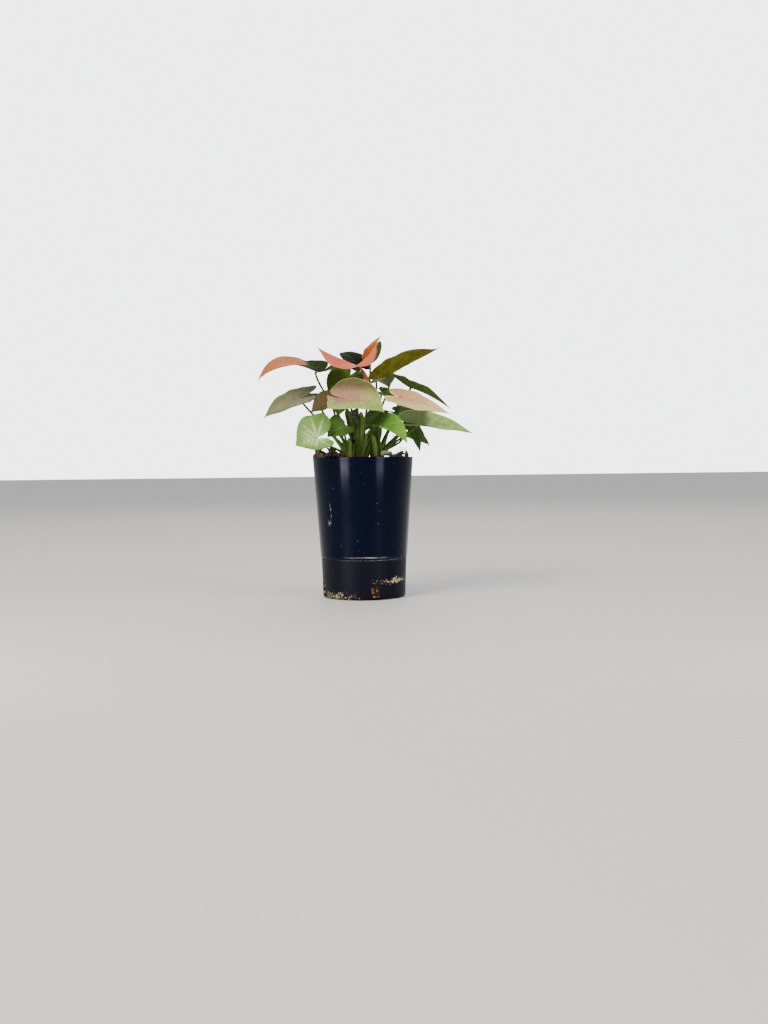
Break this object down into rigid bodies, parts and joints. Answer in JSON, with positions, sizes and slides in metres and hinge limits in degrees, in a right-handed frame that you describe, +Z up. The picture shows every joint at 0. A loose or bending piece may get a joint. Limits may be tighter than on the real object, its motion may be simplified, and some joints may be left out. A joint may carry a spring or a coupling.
{
  "type": "potted arrowhead plant",
  "caption": "Potted arrowhead plant with pink, blush and green arrow-shaped leaves on slender stalks, in a tall tapered black nursery pot filled with bark compost.",
  "frame": {"origin": "on the ground, at the centre of the pot's flat underside", "axes": "+Z up along the pot's axis, -Y towards the front of the plant, +X to the plant's right as seen from the front"},
  "size_m": [0.2103, 0.1627, 0.2632],
  "materials": {
    "pot": "gloss",
    "soil": "matte",
    "dried_husk": "matte",
    "shoots": "satin",
    "leaf_pink": "satin",
    "leaf_pale": "satin",
    "leaf_green": "satin",
    "leaf_bronze": "satin"
  },
  "bodies": {
    "root": {"pot": "pot", "soil": "soil", "dried_husk": "dried_husk", "shoot_centre": "shoots", "shoot_left": "shoots", "shoot_right": "shoots", "shoot_back_left": "shoots", "shoot_back_right": "shoots", "leaf_crown_pink": "leaf_pink", "leaf_spear": "leaf_pink", "leaf_crown_dark": "leaf_green", "leaf_crown_green": "leaf_green", "leaf_behind_blush": "leaf_green", "leaf_left_pink": "leaf_pink", "leaf_left_grey": "leaf_bronze", "leaf_left_hidden": "leaf_green", "leaf_left_bronze": "leaf_bronze", "leaf_front_blush": "leaf_pale", "leaf_front_pale": "leaf_pale", "leaf_front_green": "leaf_green", "leaf_front_right": "leaf_green", "leaf_inner_green": "leaf_green", "leaf_inner_dark": "leaf_green", "leaf_inner_low": "leaf_green", "leaf_right_olive": "leaf_green", "leaf_right_dark": "leaf_green", "leaf_right_peach": "leaf_pink", "leaf_right_pale": "leaf_pale", "leaf_right_inner": "leaf_green", "leaf_low_right_dark": "leaf_green", "leaf_low_right_olive": "leaf_green", "leaf_back_middle": "leaf_pale", "leaf_back_right": "leaf_pale", "leaf_back_low_left": "leaf_green", "leaf_back_low_right": "leaf_green"}
  },
  "joints": []
}
